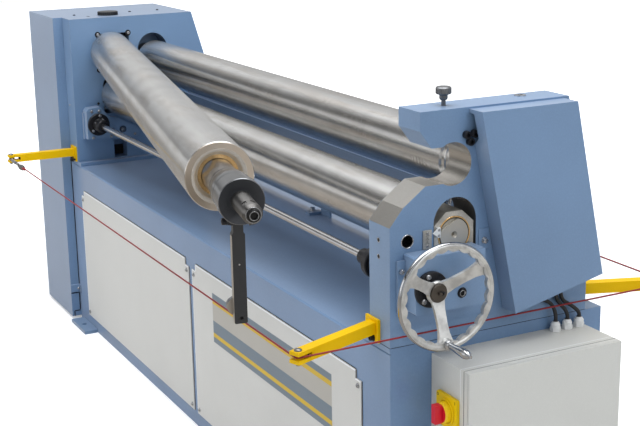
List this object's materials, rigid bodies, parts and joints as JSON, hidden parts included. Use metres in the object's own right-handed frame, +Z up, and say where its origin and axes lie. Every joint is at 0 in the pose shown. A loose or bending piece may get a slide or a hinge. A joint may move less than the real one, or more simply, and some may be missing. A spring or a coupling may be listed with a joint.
{
  "type": "plate rolling machine",
  "caption": "Floor-standing motor-driven plate rolling machine: long box base, side frames, bending rolls and a top roll swung out to the front on its pivot.",
  "frame": {"origin": "on the floor, midway between the side frames and mid-depth of the base", "axes": "+X from the drive cover to the handwheel, +Z up, front is -Y"},
  "size_m": [2.7804, 1.1659, 1.1516],
  "materials": {
    "blue_paint": "hammered blue-grey machine paint",
    "white_panel": "pale grey powder coat",
    "bare_steel": "ground roll steel",
    "polished_steel": "polished",
    "black_steel": "black oxide",
    "black_plastic": "ribbed black plastic",
    "brass": "turned",
    "grey_enclosure": "light grey textured powder coat",
    "yellow_plastic": "satin",
    "red_plastic": "satin",
    "white_plastic": "moulded nylon",
    "yellow_paint": "gloss",
    "red_wire": "plastic-sheathed steel wire",
    "zinc_steel": "zinc plated",
    "black_rubber": "cable sheath"
  },
  "bodies": {
    "machine": {"base_body": "blue_paint", "front_panel_left": "white_panel", "front_panel_right": "white_panel", "floor_feet": "blue_paint", "left_side_frame": "blue_paint", "right_side_frame": "blue_paint", "drive_cover": "blue_paint", "cover_knob": "black_plastic", "gear_cover": "blue_paint", "worm_box": "blue_paint", "left_worm_box": "blue_paint", "left_shaft_flange": "black_steel", "right_shaft_flange": "black_steel", "worm_flange": "black_steel", "back_sheet": "blue_paint", "pointer_scale": "bare_steel", "electric_box": "grey_enclosure", "switch_plate": "yellow_plastic", "cable_glands": "white_plastic", "supply_cables": "black_rubber", "front_left_arm": "yellow_paint", "front_right_arm": "yellow_paint", "rear_left_arm": "yellow_paint", "rear_right_arm": "yellow_paint", "trip_wire": "red_wire", "wire_tensioner": "zinc_steel"},
    "lower_carriage": {"lower_bearing_left": "bare_steel", "lower_bearing_right": "bare_steel"},
    "lower_roll": {"lower_roll": "bare_steel"},
    "rear_carriage": {"rear_bearing_left": "black_steel", "rear_bearing_right": "black_steel"},
    "rear_roll": {"rear_roll": "bare_steel"},
    "swivel": {"swivel_block": "black_steel"},
    "top_roll": {"top_roll": "bare_steel", "brass_bush": "brass"},
    "sleeve": {"roll_sleeve": "bare_steel", "lever_bar": "black_steel"},
    "wheel": {"cross_shaft": "polished_steel", "handwheel": "polished_steel", "crank_handle": "polished_steel"},
    "clamp": {"clamp_screw": "black_steel"},
    "door": {"box_door": "grey_enclosure"},
    "switch": {"switch_knob": "red_plastic"}
  },
  "joints": [
    {"name": "top_roll_swing", "type": "hinge", "parent": "machine", "child": "swivel", "pos_m": [-1.103, -0.1281, 0.9932], "axis": [0, 0, 1], "range_deg": [0, 12.6]},
    {"name": "top_roll_spin", "type": "hinge", "parent": "swivel", "child": "top_roll", "pos_m": [-1.103, -0.1281, 0.9932], "axis": [0.9759, -0.2181, 0], "continuous": true},
    {"name": "lever_turn", "type": "hinge", "parent": "swivel", "child": "sleeve", "pos_m": [-1.103, -0.1281, 0.9932], "axis": [0.9759, -0.2181, 0], "range_deg": [-90, 0]},
    {"name": "lower_roll_lift", "type": "slide", "parent": "machine", "child": "lower_carriage", "axis": [0, 0, 1], "range_m": [-0.002, 0.009]},
    {"name": "lower_roll_spin", "type": "hinge", "parent": "lower_carriage", "child": "lower_roll", "pos_m": [0, -0.1215, 0.8384], "axis": [1, 0, 0], "continuous": true},
    {"name": "rear_roll_lift", "type": "slide", "parent": "machine", "child": "rear_carriage", "axis": [0, 0, 1], "range_m": [-0.03, 0.02]},
    {"name": "rear_roll_spin", "type": "hinge", "parent": "rear_carriage", "child": "rear_roll", "pos_m": [0, 0.0175, 0.956], "axis": [1, 0, 0], "continuous": true},
    {"name": "handwheel_turn", "type": "hinge", "parent": "machine", "child": "wheel", "pos_m": [0, -0.2145, 0.746], "axis": [1, 0, 0], "range_deg": [-287, 1290]},
    {"name": "clamp_screw_turn", "type": "hinge", "parent": "machine", "child": "clamp", "pos_m": [1.092, -0.1241, 1.12], "axis": [0, 0, 1], "range_deg": [-720, 0]},
    {"name": "box_door_hinge", "type": "hinge", "parent": "machine", "child": "door", "pos_m": [1.283, 0.2215, 0.331], "axis": [0, 0, 1], "range_deg": [0, 110]},
    {"name": "main_switch_turn", "type": "hinge", "parent": "machine", "child": "switch", "pos_m": [1.208, -0.19, 0.473], "axis": [0, -1, 0], "range_deg": [0, 90]}
  ],
  "couplings": [
    {"joint": "lever_turn", "follows": "top_roll_swing", "ratio": -7},
    {"joint": "handwheel_turn", "follows": "lower_roll_lift", "rad_per_m": 2500}
  ]
}
